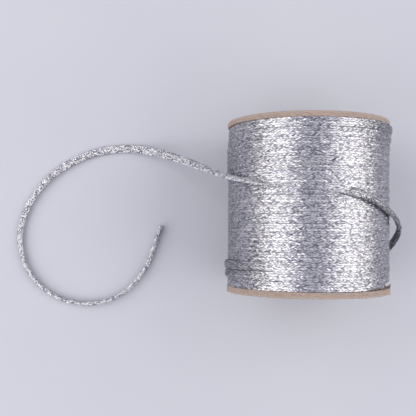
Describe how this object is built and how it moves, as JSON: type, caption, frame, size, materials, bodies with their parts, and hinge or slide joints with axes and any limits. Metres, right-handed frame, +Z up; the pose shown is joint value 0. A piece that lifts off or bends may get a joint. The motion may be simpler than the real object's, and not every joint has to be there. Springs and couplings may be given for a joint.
{
  "type": "cord spool",
  "caption": "Flanged board spool wound with flat silver metallic braid, with a loose last turn and a curled free tail.",
  "frame": {"origin": "centre of the spool, on its axis and midway between the flanges' outer faces", "axes": "+Y along the spool's axis, +Z up from the surface on which the spool lies on its side, +X away from the side where the tail leaves"},
  "size_m": [0.1648, 0.0779, 0.0669],
  "materials": {
    "kraft_board": "matt greyboard, cut edge slightly fibrous",
    "tube_paper": "matt spiral-wound paper tube",
    "paper_tape": "matt paper tape",
    "metallic_braid": "braided silver metallised yarn, glittering"
  },
  "bodies": {
    "root": {"core_tube": "tube_paper", "top_inner_board": "kraft_board", "top_outer_board": "kraft_board", "bottom_inner_board": "kraft_board", "bottom_outer_board": "kraft_board", "start_tape": "paper_tape", "inner_layers": "metallic_braid", "outer_layer": "metallic_braid", "free_tail": "metallic_braid"}
  },
  "joints": []
}
